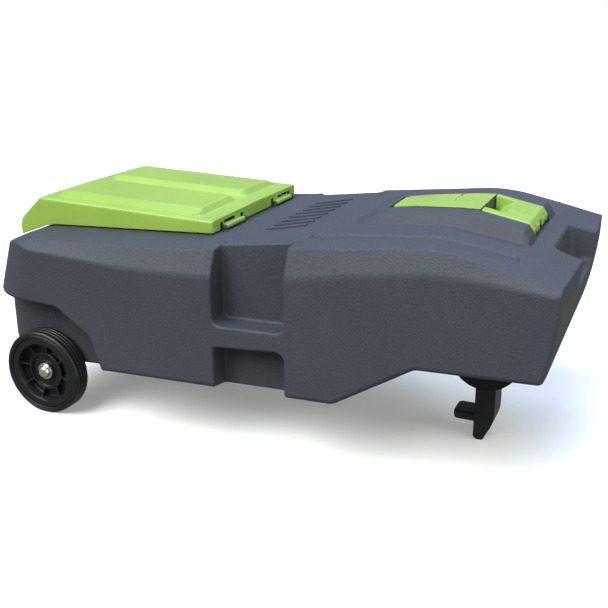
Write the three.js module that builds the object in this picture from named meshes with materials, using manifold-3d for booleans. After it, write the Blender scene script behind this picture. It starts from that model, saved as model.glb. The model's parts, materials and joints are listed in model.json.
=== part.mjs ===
// A wheeled portable holding tank with a hose locker under a hinged lid.
// Millimetres, +Z up, +X towards the pulling end, -Y is the right-hand side.
// Stations along the body are measured from its rear end; the last lines centre the part on the origin.
import * as THREE from "three";
import { mergeVertices } from "three/addons/utils/BufferGeometryUtils.js";
import Module from "manifold-3d";

const wasm = await Module();
wasm.setup();

// ---------------------------------------------------------------- driving dimensions
const LENGTH = 1312;
const HALF_WIDTH = 319;
const WALL = 5;
const GAP = 0.3;
const WHEEL = { x: 140, radius: 101.6, width: 45, mid: 291.5 };
const AXLE_R = 8;
const LID = { rear: 36, front: 558, half: 215, shell: 4 };
const HINGE = { x: 564, z: 466, inner: 84, outer: 169, r: 5.5, pin: 2.5 };
const COVER = { rear: 905, front: 1098.5, hingeX: 909, hingeZ: 511, pin: 3 };
const HANDLE = { rear: 1101.6, bend: 1198, tip: 1208.5, hingeX: 1200, hingeZ: 497, pin: 3 };
const STAND = { x: 1123, pivotX: 1127.5, z: 165, half: 37, cheek: 78, cheekZ: 203, plateZ: 254.7 };
const WELL = { x0: 110, x1: 530, half: 170, floor: 325 };
const PORT = { x0: 898, x1: 1091, half: 56, floor: 488 };
const OUTLET = { z: 180, back: 60, half: 75, top: 262 };
const GAUGE = { x: 938, z: 474, floatX: 748, floatZ: 262 };
const INLET_X = 1030;
const VENT = { x: 978, y: -42 };

const material = (color, roughness, metalness = 0) =>
  new THREE.MeshStandardMaterial({ color, roughness, metalness });
const GREY_PLASTIC = material(0x4b4f5c, 0.62);
const GREEN_PLASTIC = material(0x9fc94a, 0.42);
const BLACK_PLASTIC = material(0x191a1d, 0.5);
const RUBBER = material(0x141416, 0.85);
const ZINC = material(0xb9bdb6, 0.32, 1);
const BLACK_STEEL = material(0x17181a, 0.45, 0.6);
const CLEAR = material(0xdfe6e8, 0.08);

// ---------------------------------------------------------------- solids and shapes
function solid(geometry) {
  const plain = new THREE.BufferGeometry().setAttribute("position", geometry.getAttribute("position"));
  if (geometry.index) plain.setIndex(geometry.index);
  const merged = mergeVertices(plain, 1e-3);
  const kept = [];
  const index = merged.index.array;
  for (let i = 0; i < index.length; i += 3) {
    const [a, b, c] = [index[i], index[i + 1], index[i + 2]];
    if (a !== b && b !== c && a !== c) kept.push(a, b, c);
  }
  const vertProperties = new Float32Array(merged.attributes.position.array);
  return new wasm.Manifold(new wasm.Mesh({ numProp: 3, vertProperties, triVerts: new Uint32Array(kept) }));
}

const join = (...solids) => solids.reduce((all, one) => all.add(one));
const cut = (body, ...tools) => tools.reduce((left, tool) => left.subtract(tool), body);

function node(name, shape, look) {
  const made = shape.getMesh();
  const geometry = new THREE.BufferGeometry();
  geometry.setAttribute("position", new THREE.BufferAttribute(new Float32Array(made.vertProperties), 3));
  geometry.setIndex(new THREE.BufferAttribute(new Uint32Array(made.triVerts), 1));
  geometry.computeVertexNormals();
  const mesh = new THREE.Mesh(geometry, look);
  mesh.name = name;
  return mesh;
}

// A flat outline from [x, y] points; a third number rounds that corner.
function outline(points) {
  const shape = new THREE.Shape();
  const count = points.length;
  points.forEach(([x, y, r], i) => {
    if (!r) {
      shape[i ? "lineTo" : "moveTo"](x, y);
      return;
    }
    const corner = new THREE.Vector2(x, y);
    const before = new THREE.Vector2(...points[(i + count - 1) % count].slice(0, 2)).sub(corner).normalize();
    const after = new THREE.Vector2(...points[(i + 1) % count].slice(0, 2)).sub(corner).normalize();
    const start = corner.clone().addScaledVector(before, r);
    const end = corner.clone().addScaledVector(after, r);
    shape[i ? "lineTo" : "moveTo"](start.x, start.y);
    shape.quadraticCurveTo(x, y, end.x, end.y);
  });
  return shape;
}

const AXES = {
  x: new THREE.Matrix4().makeBasis(new THREE.Vector3(0, 1, 0), new THREE.Vector3(0, 0, 1), new THREE.Vector3(1, 0, 0)),
  y: new THREE.Matrix4().makeBasis(new THREE.Vector3(1, 0, 0), new THREE.Vector3(0, 0, 1), new THREE.Vector3(0, -1, 0)),
  z: new THREE.Matrix4(),
};

// An outline pushed along an axis. Its points are (y, z) along x, (x, z) along y and (x, y) along z.
function prism(points, axis, from, to, curveSegments = 4) {
  const shape = Array.isArray(points) ? outline(points) : points;
  const geometry = new THREE.ExtrudeGeometry(shape, { depth: to - from, bevelEnabled: false, curveSegments });
  geometry.applyMatrix4(AXES[axis]);
  const shift = { x: [from, 0, 0], y: [0, to, 0], z: [0, 0, from] }[axis];
  return solid(geometry.translate(...shift));
}

const box = (x0, x1, y0, y1, z0, z1) =>
  solid(new THREE.BoxGeometry(x1 - x0, y1 - y0, z1 - z0).translate((x0 + x1) / 2, (y0 + y1) / 2, (z0 + z1) / 2));

// A round bar along an axis from one coordinate to another, centred on the other two.
function bar(axis, from, to, a, b, r, segments = 24, rEnd = r) {
  const geometry = new THREE.CylinderGeometry(rEnd, r, to - from, segments);
  geometry.translate(0, (from + to) / 2, 0);
  if (axis === "x") geometry.rotateZ(-Math.PI / 2);
  if (axis === "z") geometry.rotateX(Math.PI / 2);
  const shift = { x: [0, a, b], y: [a, 0, b], z: [a, b, 0] }[axis];
  return solid(geometry.translate(...shift));
}

// A turned piece about an axis through (a, b); profile points are [radius, distance along the axis].
function turned(profile, axis, a, b, segments = 40) {
  const points = profile.map(([r, h]) => new THREE.Vector2(r, h));
  if (profile[0][0] > 0) points.push(points[0].clone());
  const geometry = new THREE.LatheGeometry(points, segments);
  if (axis === "x") geometry.rotateZ(-Math.PI / 2);
  if (axis === "z") geometry.rotateX(Math.PI / 2);
  const shift = { x: [0, a, b], y: [a, 0, b], z: [a, b, 0] }[axis];
  const made = solid(geometry.translate(...shift));
  return made.volume() > 0 ? made : flipped(geometry);
}

function flipped(geometry) {
  const index = Array.from(geometry.index.array);
  for (let i = 0; i < index.length; i += 3) [index[i], index[i + 1]] = [index[i + 1], index[i]];
  return solid(geometry.setIndex(index));
}

// A skin over sections that are closed loops of the same number of 3-D points, in order along +X.
function loft(given) {
  const area = THREE.ShapeUtils.area(given[0].map(([, y, z]) => new THREE.Vector2(y, z)));
  const sections = area > 0 ? given : given.map((section) => [...section].reverse());
  const size = sections[0].length;
  const flat = sections.flat().flat();
  const index = [];
  for (let s = 0; s + 1 < sections.length; s += 1) {
    for (let i = 0; i < size; i += 1) {
      const a = s * size + i;
      const b = s * size + ((i + 1) % size);
      index.push(a, b, b + size, a, b + size, a + size);
    }
  }
  const cap = (section) =>
    THREE.ShapeUtils.triangulateShape(section.map(([, y, z]) => new THREE.Vector2(y, z)), []);
  const last = (sections.length - 1) * size;
  cap(sections[0]).forEach(([a, b, c]) => index.push(a, c, b));
  cap(sections[sections.length - 1]).forEach(([a, b, c]) => index.push(last + a, last + b, last + c));
  const geometry = new THREE.BufferGeometry();
  geometry.setAttribute("position", new THREE.Float32BufferAttribute(flat, 3));
  geometry.setIndex(index);
  const made = solid(geometry);
  return made.volume() > 0 ? made : flipped(geometry);
}

// A height that runs straight between [station, height] points, softened over a short stretch.
function line(points, soft = 0) {
  const at = (x) => {
    const next = points.findIndex(([station]) => station >= x);
    if (next === 0) return points[0][1];
    if (next < 0) return points[points.length - 1][1];
    const [[x0, z0], [x1, z1]] = [points[next - 1], points[next]];
    return z0 + ((z1 - z0) * (x - x0)) / (x1 - x0);
  };
  const spread = [-1, -0.5, 0, 0.5, 1];
  return (x) => spread.reduce((sum, k) => sum + at(x + k * soft), 0) / spread.length;
}

// A half section's [y, z] points from the top centre down, mirrored into a full loop at station x.
function mirrored(x, half) {
  const right = half.map(([y, z]) => [x, -y, z]);
  const left = half.filter(([y]) => y > 0).map(([y, z]) => [x, y, z]);
  return [...right, ...left.reverse()];
}

const steps = (from, to, count) => Array.from({ length: count + 1 }, (_, i) => from + ((to - from) * i) / count);
const bothSides = (make) => join(make(1), make(-1));
const sides = [["left", 1], ["right", -1]];

// ---------------------------------------------------------------- tank body
const TOP_FLAT = 205;
const crown = line([[0, 388], [36, 402], [124, 436], [558, 458], [645, 460], [787, 481], [898, 494], [1054, 508],
  [1205, 490], [1253, 478], [1312, 462]], 22);
const shoulder = line([[0, 383], [36, 396], [104, 424], [370, 434], [446, 437], [594, 450], [640, 458], [772, 474],
  [898, 487], [1054, 504], [1111, 500], [1184, 485], [1312, 456]], 22);
const shoulderY = line([[0, 295], [600, 295], [1054, 300], [1312, 307]]);
const beltline = line([[0, 376], [36, 390], [100, 415], [138, 405], [385, 391], [600, 396], [773, 413], [909, 438],
  [1053, 459], [1192, 456], [1312, 446]], 14);
const belly = line([[0, 168], [60, 122], [220, 122], [337, 129], [875, 151], [1042, 255], [1400, 270]]);
const LEDGE = { from: 787, to: 1205, drop: 4.5, y: line([[787, 204], [1054, 213], [1205, 224]]) };
const BELLY_FLAT = 255;
const BELLY_RISE = 12;

function bodySection(x, inset) {
  const stepped = x >= LEDGE.from && x <= LEDGE.to;
  const rim = [TOP_FLAT, crown(x) - inset];
  const edge = [shoulderY(x) - 0.7 * inset, shoulder(x) - inset];
  const inner = stepped ? LEDGE.y(x) : 220;
  const share = (inner - rim[0]) / (edge[0] - rim[0]);
  const inLine = (t) => rim[1] + (edge[1] - rim[1]) * t;
  const top = stepped ? rim[1] : inLine(share);
  const low = stepped ? Math.max(top - LEDGE.drop, edge[1]) : inLine(share + 0.02);
  return mirrored(x, [[0, crown(x) + 1 - inset], rim, [inner, top], [inner + 2, low], edge,
    [HALF_WIDTH - inset, beltline(x) - 0.4 * inset],
    [HALF_WIDTH - inset, belly(x) + BELLY_RISE + 0.7 * inset],
    [BELLY_FLAT, belly(x) + inset], [0, belly(x) + inset]]);
}

function bodyShape(inset) {
  const outside = [-20, 20, 60, 104, 138, 180, 220, 280, 337, 385, 446, 500, 545, 575, 605, 640, 670, 710, 750,
    LEDGE.from - 1, LEDGE.from, 830, 875, 909, 960, 1000, 1030, 1042, 1054, 1080, 1111, 1150, 1184,
    LEDGE.to, LEDGE.to + 1, 1235, 1262, 1290, 1340];
  const hollow = [-20, 60, 104, 180, 220, 337, 446, 575, 640, 710, LEDGE.from - 6, 875, 1000, 1042, 1111, 1184,
    LEDGE.to + 6, 1262, 1340];
  const stations = inset ? hollow : outside;
  const skin = loft(stations.map((x) => bodySection(x, inset)));
  const rear = inset;
  const front = LENGTH - inset;
  const side = prism([[rear, 60], [rear, 292, 20], [rear + 38, 412, 12], [rear + 60, 470], [rear + 60, 620],
    [front, 620], [front, 385, 22], [front - 52, 198], [front - 52, 60]], "y", -400, 400);
  const edge = HALF_WIDTH - inset;
  const plan = prism([[rear, edge, 105], [rear, -edge, 105], [front - 12, -edge, 16], [front - 4, -180], [front, 0],
    [front - 4, 180], [front - 12, edge, 16]], "z", 0, 700, 6);
  return skin.intersect(side).intersect(plan);
}

// The raised mound that carries the green cover and handle.
const moundTop = line([[835, 486], [848, 495], [888, 515], [960, 524], [1054, 532], [1099, 534], [1198, 515],
  [1209, 501], [1216, 484]]);
const moundFoot = line([[835, 96], [862, 122], [1054, 135], [1216, 155]]);
const moundHead = line([[835, 92], [888, 99], [1054, 115], [1203, 138], [1216, 142]]);

function mound(inset) {
  const stations = [835 + inset, 862, 888, 960, 1020, 1054, 1080, 1099, 1150, 1198, 1209, 1216 - inset];
  return loft(stations.map((x) => mirrored(x, [[0, moundTop(x) - inset], [moundHead(x) - inset, moundTop(x) - inset],
    [moundFoot(x) - inset, Math.min(crown(x), moundTop(x)) - 1.5 * inset], [moundFoot(x) - inset, crown(x) - 30],
    [0, crown(x) - 30]])));
}

// Everything scooped out of the body; grow thickens each tool, so that the hollow inside keeps a wall round it.
function wheelRecess(side, grow) {
  const inner = 262 - grow;
  const up = 0.8 * grow;
  const profile = [[-60, -20], [-60, 290 + grow], [22, 287 + grow], [50, 283 + grow], [203, 276 + grow, 14],
    [289 + up, 218 + up, 16], [312 + grow, 160], [312 + grow, -20]];
  const [from, to] = side > 0 ? [inner, 420] : [-420, -inner];
  const corner = prism([[-40, side * (200 - grow)], [grow, side * (200 - grow)], [12 + grow, side * (244 - grow)],
    [60 + grow, side * (262.5 - grow)], [60, side * 300], [-40, side * 300]], "z", 0, 285 + grow);
  return join(prism(profile, "y", from, to), corner);
}

function handPocket(side, grow) {
  const [from, to] = side > 0 ? [262 - grow, 420] : [-420, -262 + grow];
  const [x0, x1] = [605 - grow, 769 + grow];
  const upper = prism([[x0, 293 - grow, 18 + grow], [x1, 298 - grow, 18 + grow], [x1, 640], [x0, 640]], "y", from, to);
  const lower = prism([[x0, 245 + grow, 20 + grow], [x0, 40], [x1, 40], [x1, 257 + grow, 20 + grow]], "y", from, to);
  return join(upper, lower);
}

const frontNotch = (grow) =>
  prism([[1253 - grow, -100 - grow, 10], [1420, -118 - grow], [1420, 118 + grow], [1253 - grow, 100 + grow, 10]],
    "z", 398 - grow, 700);
const hoseWell = (grow) => {
  const { x0, x1, half, floor } = WELL;
  return prism([[x0 - grow, -half - grow, 30], [x1 + grow, -half - grow, 30], [x1 + grow, half + grow, 30],
    [x0 - grow, half + grow, 30]], "z", floor - grow, 640);
};
const portWell = (grow) =>
  box(PORT.x0 - grow, PORT.x1 + grow, -PORT.half - grow, PORT.half + grow, PORT.floor - grow, 640);
function handleWell(grow) {
  const floor = prism([[1100, 514], [1188, 499], [1190, 485], [1214, 485], [1214, 640], [1100, 640]].map(([x, z]) =>
    [x + (x > 1150 ? grow : -grow), z - (z < 600 ? grow : 0)]), "y", -82 - grow, 82 + grow);
  const fingers = box(1101 - grow, 1142 + grow, -60 - grow, 60 + grow, 492 - grow, 600);
  return join(floor, fingers);
}
const outletBay = (grow) =>
  prism([[-20, -OUTLET.half - grow], [OUTLET.back + grow, -OUTLET.half - grow],
    [OUTLET.back + grow, OUTLET.half + grow], [-20, OUTLET.half + grow]], "z", 60, OUTLET.top + grow);
// Solid lands in the floor that take the bracket screws.
const AXLE_PAD = { x: [95, 185], y: [206, 244], top: 146 };
const STAND_PAD = { x: [1053, 1193], half: 75, top: 286 };
const axlePad = (side) => {
  const [y0, y1] = side > 0 ? AXLE_PAD.y : AXLE_PAD.y.map((y) => -y).reverse();
  return box(...AXLE_PAD.x, y0, y1, 80, AXLE_PAD.top);
};
const standPad = (from) => box(...STAND_PAD.x, -STAND_PAD.half, STAND_PAD.half, from, STAND_PAD.top);
const AXLE_SCREWS = [112, 168];
const STAND_SCREWS = [[1073, -56], [1173, -56], [1073, 56], [1173, 56]];

// Plain slanted tread bars where a moulded name would sit.
function treadBars() {
  const bars = steps(-138, 138, 7).map((y) => {
    const shift = y + 26;
    const rib = prism([[648, y - 10], [736, shift - 10], [736, shift + 4], [648, y + 4]], "z", 440, 520);
    const skin = loft([640, 680, 710, 745].map((x) => mirrored(x, [[0, crown(x) + 4], [204, crown(x) + 3],
      [204, crown(x) - 12], [0, crown(x) - 12]])));
    return rib.intersect(skin);
  });
  return join(...bars);
}

function tankBody() {
  const ear = (y) => prism([[558.6, 448], [558.6, 467], [561, 471.5, 2], [567, 471.5, 2], [569.6, 467], [571, 448]],
    "y", y, y + 7);
  const ears = [-HINGE.outer - 8, -HINGE.inner + 1, HINGE.inner - 8, HINGE.outer + 1].map(ear);
  const coaming = cut(
    prism([[WELL.x0 - 12, -WELL.half - 12, 34], [WELL.x1 + 10, -WELL.half - 12, 34],
      [WELL.x1 + 10, WELL.half + 12, 34], [WELL.x0 - 12, WELL.half + 12, 34]], "z", 405, 470),
    hoseWell(0),
  );
  const outside = join(bodyShape(0), mound(0), standPad(255), coaming, treadBars(), ...ears);
  const scooped = cut(outside, frontNotch(0), hoseWell(0), portWell(0), handleWell(0), outletBay(0),
    ...[1, -1].flatMap((side) => [wheelRecess(side, 0), handPocket(side, 0)]));
  const hollow = cut(join(bodyShape(WALL), mound(WALL)), frontNotch(WALL), hoseWell(WALL), portWell(WALL),
    handleWell(WALL), outletBay(WALL), standPad(200), axlePad(1), axlePad(-1),
    ...[1, -1].flatMap((side) => [wheelRecess(side, WALL), handPocket(side, WALL)]));
  const bores = [
    bar("x", OUTLET.back - 2, OUTLET.back + 20, 0, OUTLET.z, 38.5, 36),
    bar("z", PORT.floor - 20, PORT.floor + 5, INLET_X, 0, 28.5, 28),
    bar("z", PORT.floor - 20, PORT.floor + 5, GAUGE.x, 0, 20.5, 24),
    bar("y", -HINGE.outer - 12, HINGE.outer + 12, HINGE.x, HINGE.z, HINGE.pin + 0.3, 12),
    bar("y", -62, 62, COVER.hingeX, COVER.hingeZ, COVER.pin + 0.3, 12),
    bar("y", -91, 91, HANDLE.hingeX, HANDLE.hingeZ, HANDLE.pin + 0.3, 12),
    ...AXLE_SCREWS.flatMap((x) => [225, -225].map((y) => bar("z", 90, 140, x, y, 4.3, 12))),
    ...STAND_SCREWS.map(([x, y]) => bar("z", 240, 276, x, y, 4.3, 12)),
  ];
  return cut(scooped, hollow, ...bores);
}

// ---------------------------------------------------------------- storage lid
const lidTop = line([[36, 427], [44, 449], [100, 500], [558, 487]]);
const lidSkirt = (x) => Math.max(crown(x), 380) + 2.2;
const LID_CROWN = 2;
const panelRise = line([[122, -2], [140, 12.5], [504, 12.5], [517, -2]]);
const panelNarrow = line([[122, 18], [140, 6], [160, 0], [485, 0], [498, 5], [504, 12], [517, 24]]);

function lidRoof(inset) {
  const stations = [LID.rear + inset, 44 + 0.8 * inset, 100 + 0.6 * inset, 120, 160, 240, 340, 440, 520,
    LID.front - inset];
  return loft(stations.map((x) => mirrored(x, [[0, lidTop(x) + LID_CROWN - inset], [LID.half - 9, lidTop(x) - inset],
    [LID.half - inset, lidTop(x) - 6 - inset], [LID.half - inset, lidSkirt(x) - (inset ? 30 : 0)],
    [0, lidSkirt(x) - (inset ? 30 : 0)]])));
}

function lidPanel(side, inset) {
  const stations = [122, 140, 160, 240, 320, 400, 485, 498, 504, 517];
  const sections = stations.map((x) => {
    const ends = panelNarrow(x);
    const z = (y) => lidTop(x) + LID_CROWN * (1 - y / LID.half) - inset;
    const half = [[8 + ends, z(8) - 2], [29 + ends, z(29) + panelRise(x)], [168 - ends, z(168) + panelRise(x)],
      [202 - ends, z(202) - 2], [100, z(100) - 12]];
    return half.map(([y, height]) => [x, side * y, height]);
  });
  return loft(sections);
}

function storageLid() {
  const { shell } = LID;
  const knuckle = (side) => {
    const [y0, y1] = side > 0 ? [HINGE.inner, HINGE.outer] : [-HINGE.outer, -HINGE.inner];
    const barrel = bar("y", y0, y1, HINGE.x, HINGE.z, HINGE.r, 16);
    const web = box(LID.front - 3, HINGE.x, y0, y1, HINGE.z - 4, HINGE.z + 3.5);
    return join(barrel, web);
  };
  const slot = (side) => {
    const [y0, y1] = side > 0 ? [113, 163] : [-163, -113];
    return box(LID.front - 12, LID.front + 9, y0, y1, HINGE.z + 5.7, HINGE.z + 12);
  };
  const outside = join(lidRoof(0), lidPanel(1, 0), lidPanel(-1, 0));
  const inside = join(lidRoof(shell), lidPanel(1, shell), lidPanel(-1, shell));
  const shellOnly = cut(outside, inside);
  const clearance = [74, 167, -86, -179].map((y) => box(LID.front - 12, LID.front + 2, y, y + 12, 450, 477));
  const thumb = box(LID.rear - 4, LID.rear + 10, -45, 45, 380, 411);
  return cut(join(shellOnly, bothSides(knuckle)), slot(1), slot(-1), thumb, ...clearance,
    bar("y", -200, 200, HINGE.x, HINGE.z, HINGE.pin + 0.3, 12));
}

// ---------------------------------------------------------------- port cover and pull handle
const coverTop = line([[905, 518], [960, 525.5], [1054, 534], [1099, 536]]);
const coverHalf = line([[905, 52], [925, 58], [1099, 79]]);
const handleTop = line([[1101, 536], [1198, 517], [1208.5, 502]]);

function greenPlate(from, to, count, top, half, thick) {
  return loft(steps(from, to, count).map((x) => mirrored(x, [[0, top(x) + 0.6], [half(x) - 5, top(x)],
    [half(x), top(x) - 4], [half(x), top(x) - thick], [0, top(x) - thick]])));
}

function portCover() {
  const plate = greenPlate(COVER.rear, COVER.front, 6, coverTop, coverHalf, 12);
  const under = greenPlate(COVER.rear + 16, COVER.front - 4, 5, (x) => coverTop(x) - 4.5, (x) => coverHalf(x) - 4, 20);
  const barrel = (y0, y1) => join(bar("y", y0, y1, COVER.hingeX, COVER.hingeZ, 6, 14),
    box(COVER.hingeX, COVER.hingeX + 16, y0, y1, COVER.hingeZ - 5, COVER.hingeZ + 3));
  const landing = cut(box(898, 1100, -90, 90, 480, 560), mound(-0.8), box(PORT.x0, PORT.x1, -55, 55, 470, 540));
  const flange = plate.intersect(join(landing, box(890, 1090, -55, 55, 480, 560)));
  const notches = [[-60, -44], [44, 60]].map(([y0, y1]) => box(900, 912, y0, y1, 500, 530));
  const crease = box(1026, 1029, -12, 90, coverTop(1027) - 0.9, 545);
  return cut(join(cut(flange, under), barrel(-40, -14), barrel(14, 40)), ...notches, crease,
    bar("y", -70, 70, COVER.hingeX, COVER.hingeZ, COVER.pin + 0.3, 12));
}

function pullHandle() {
  const plate = loft([HANDLE.rear, 1140, 1170, HANDLE.bend, HANDLE.tip].map((x) => mirrored(x, [
    [0, handleTop(x) + 0.6], [75, handleTop(x)], [80, handleTop(x) - 4], [80, handleTop(x) - 12],
    [0, handleTop(x) - 12]])));
  // A dished tray in front of the finger gap: its floor slopes down towards the gap between two side walls.
  const tray = prism([[HANDLE.rear, 505], [HANDLE.rear, handleTop(HANDLE.rear)], [1150, handleTop(1150)], [1150, 519],
    [1140, 515], [1112, 503]], "y", -59, 59);
  const scoop = prism([[1095, 560], [1146, 560], [1146, handleTop(1146) + 0.3], [1112, 507.5], [1095, 498]], "y", -55, 55);
  const gap = box(1095, 1112, -55, 55, 480, 560);
  const under = prism([[1124, 480], [1124, 509], [1146, 520], [1190, 509], [1190, 480]], "y", -72, 72);
  const barrel = bar("y", -74, 74, HANDLE.hingeX, HANDLE.hingeZ, 6, 14);
  const tip = box(HANDLE.tip - 6, HANDLE.tip + 4, -14, 14, 480, 506);
  // Two ribbed thumb patches in a row along the handle.
  const grips = [1152, 1173].flatMap((x) => [0, 4, 8].map((step) =>
    box(x + step, x + step + 2, -26, 26, handleTop(x + step + 2) - 3, handleTop(x + step) + 1)));
  const body = join(cut(join(cut(plate, under), tray), scoop, gap), barrel, ...grips);
  return cut(body, tip,
    bar("y", -90, 90, HANDLE.hingeX, HANDLE.hingeZ, HANDLE.pin + 0.3, 12));
}

const hingePin = (name, y0, y1, x, z, r) => node(name, bar("y", y0, y1, x, z, r, 12), ZINC);

// ---------------------------------------------------------------- filling port and level gauge
function inletPieces() {
  const z = PORT.floor + GAP;
  const collar = turned([[25, z - 14], [28, z - 14], [28, z], [38, z], [38, z + 4], [31, z + 4], [31, z + 14],
    [25, z + 14]], "z", INLET_X, 0, 24);
  const grips = steps(0, 300, 5).map((angle) => {
    const rib = box(39, 42.5, -4, 4, z + 5, z + 17);
    return rib.rotate([0, 0, angle]).translate([INLET_X, 0, 0]);
  });
  const cap = join(turned([[0, z + 19], [37, z + 19], [40, z + 16], [40, z + 4.6], [31.8, z + 4.6], [31.8, z + 14.6],
    [0, z + 14.6]], "z", INLET_X, 0, 24), ...grips);
  const vent = turned([[0, z + 12], [8, z + 12], [10, z + 9], [10, z], [0, z]], "z", VENT.x, VENT.y, 16);
  return [node("inlet_collar", collar, BLACK_PLASTIC), node("inlet_cap", cap, BLACK_PLASTIC),
    node("vent_valve", vent, BLACK_PLASTIC)];
}

function gaugePieces() {
  const z = PORT.floor + GAP;
  const housing = turned([[15, z - 8], [20, z - 8], [20, z], [33, z], [33, z + 4], [31, z + 9], [29, z + 9],
    [29, z + 2.4], [4, z + 2.4], [4, z - 4], [15, z - 4]], "z", GAUGE.x, 0, 24);
  const forks = [-11, 7].map((y) => box(GAUGE.x - 7, GAUGE.x + 7, y, y + 4, GAUGE.z - 8, z - 3));
  const spindleHole = bar("y", -20, 20, GAUGE.x, GAUGE.z, 2.6, 10);
  const lens = turned([[0, z + 8.6], [28.6, z + 8.6], [28.6, z + 6], [0, z + 6]], "z", GAUGE.x, 0, 24);
  const needle = join(bar("z", z - 6, z + 4.6, GAUGE.x, 0, 2, 10),
    box(GAUGE.x - 22, GAUGE.x + 6, -1.6, 1.6, z + 3, z + 4.6));
  const armLength = Math.hypot(GAUGE.floatX - GAUGE.x, GAUGE.floatZ - GAUGE.z);
  const tilt = (Math.atan2(GAUGE.z - GAUGE.floatZ, GAUGE.x - GAUGE.floatX) * 180) / Math.PI;
  const rod = bar("x", -armLength, 0, 0, 0, 3, 10);
  const bob = turned([[0, -30], [22, -30], [28, -24], [28, 24], [22, 30], [0, 30]], "y", -armLength, 0, 24);
  const hub = bar("y", -6.4, 6.4, 0, 0, 6, 12);
  const arm = join(rod, bob, hub).rotate([0, -tilt, 0]).translate([GAUGE.x, 0, GAUGE.z]);
  return [node("gauge_housing", cut(join(housing, ...forks), spindleHole), BLACK_PLASTIC),
    node("gauge_lens", lens, CLEAR), node("gauge_needle", needle, GREEN_PLASTIC),
    node("float_arm", cut(arm, spindleHole), BLACK_PLASTIC),
    node("float_spindle", bar("y", -12, 12, GAUGE.x, GAUGE.z, 2.2, 10), ZINC)];
}

// ---------------------------------------------------------------- outlet
function outletPieces() {
  const back = OUTLET.back - GAP;
  const lug = (r0, r1, x0, x1) => (angle) =>
    box(x0, x1, r0, r1, -8, 8).rotate([angle, 0, 0]).translate([0, 0, OUTLET.z]);
  const gasket = turned([[39, back - 3], [54, back - 3], [54, back], [39, back]], "x", 0, OUTLET.z, 28);
  const flange = back - 3 - GAP;
  const spigot = turned([[34, back + 16], [38, back + 16], [38, flange], [54, flange], [54, flange - 6],
    [41, flange - 6], [41, 12], [37, 12], [34, 20]], "x", 0, OUTLET.z, 28);
  const fitting = join(spigot, ...steps(45, 315, 3).map(lug(40, 45.5, 22, 28)));
  const cup = turned([[0, 4], [48, 4], [51, 8], [51, 20], [42, 20], [42, 9], [0, 9]], "x", 0, OUTLET.z, 28);
  const grips = [0, 180].map(lug(49, 60, 6, 14));
  return [node("outlet_gasket", gasket, RUBBER), node("outlet_fitting", fitting, BLACK_PLASTIC),
    node("outlet_cap", join(cup, ...grips), GREEN_PLASTIC)];
}

// ---------------------------------------------------------------- wheels
function tyre(side) {
  const half = WHEEL.width / 2;
  const r = WHEEL.radius;
  const groove = (h) => [[r, h - 2.4], [r - 3, h], [r, h + 2.4]];
  const profile = [[87.3, -half + 2.5], [90, -half], [97, -half], [r, -half + 5], ...groove(-8), ...groove(0),
    ...groove(8), [r, half - 5], [97, half], [90, half], [87.3, half - 2.5]];
  return turned(profile, "y", WHEEL.x, WHEEL.radius, 32).translate([0, side * WHEEL.mid, 0]);
}

function hub(side) {
  const disc = turned([[8.4, -21], [22, -21], [24, -6], [64, -6], [67, -20], [87, -20], [87, 20], [71, 20], [67, 2],
    [47, 2], [46, 8], [43, 8], [42, 1], [24, 1], [23, 8], [8.4, 8]], "y", 0, 0, 32);
  const spokes = steps(0, 315, 7).map((angle) =>
    prism([[44.5, -5], [68, -5], [69, 15], [44.5, 7]], "z", -1.6, 1.6).rotate([0, angle, 0]));
  const wheel = join(disc, ...spokes);
  const turnedOut = side > 0 ? wheel : wheel.scale([1, -1, 1]);
  return turnedOut.translate([WHEEL.x, side * WHEEL.mid, WHEEL.radius]);
}

function wheelPieces([name, side]) {
  const at = (h) => side * (WHEEL.mid + h);
  const ring = (h0, h1, r0, r1) => {
    const [lo, hi] = [Math.min(at(h0), at(h1)), Math.max(at(h0), at(h1))];
    return cut(bar("y", lo, hi, WHEEL.x, WHEEL.radius, r1, 20),
      bar("y", lo - 1, hi + 1, WHEEL.x, WHEEL.radius, r0, 20));
  };
  const dome = [[8.4, 10.4], [15, 10.4], [15, 14], [12, 19], [7, 21.6], [0, 22.4], [0, 19.4], [8.4, 19.4]];
  const profile = dome.map(([r, h]) => [r, at(h)]);
  const closed = [...profile.slice(-3).slice(1), ...profile.slice(0, 6)];
  const nut = turned(closed, "y", WHEEL.x, WHEEL.radius, 20);
  return [node(`tyre_${name}`, tyre(side), RUBBER), node(`wheel_hub_${name}`, hub(side), BLACK_PLASTIC),
    node(`inner_washer_${name}`, ring(-23.5, -21.4, 8.3, 18), ZINC),
    node(`outer_washer_${name}`, ring(8.3, 10.1, 8.3, 20), ZINC), node(`cap_nut_${name}`, nut, ZINC)];
}

function axlePieces() {
  const reach = WHEEL.mid + 18.6;
  const pieces = [node("axle", bar("y", -reach, reach, WHEEL.x, WHEEL.radius, AXLE_R, 28), ZINC)];
  const top = 122 - GAP;
  for (const [name, side] of sides) {
    const mid = side * 225;
    const block = prism([[95, top], [95, top - 6], [122, top - 7], [123, 92, 5], [132, 83, 5], [148, 83, 5], [157, 92, 5],
      [158, top - 7], [185, top - 6], [185, top]], "y", mid - 15, mid + 15);
    const screwHoles = AXLE_SCREWS.map((x) => bar("z", 90, 140, x, mid, 4.3, 12));
    const bracket = cut(block, bar("y", mid - 20, mid + 20, WHEEL.x, WHEEL.radius, AXLE_R + 0.3, 28), ...screwHoles);
    pieces.push(node(`axle_bracket_${name}`, bracket, BLACK_STEEL));
    AXLE_SCREWS.forEach((x, i) => {
      pieces.push(node(`axle_screw_${name}_${i + 1}`, screw(x, mid, top - 7 - GAP, 138), ZINC));
    });
  }
  return pieces;
}

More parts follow.
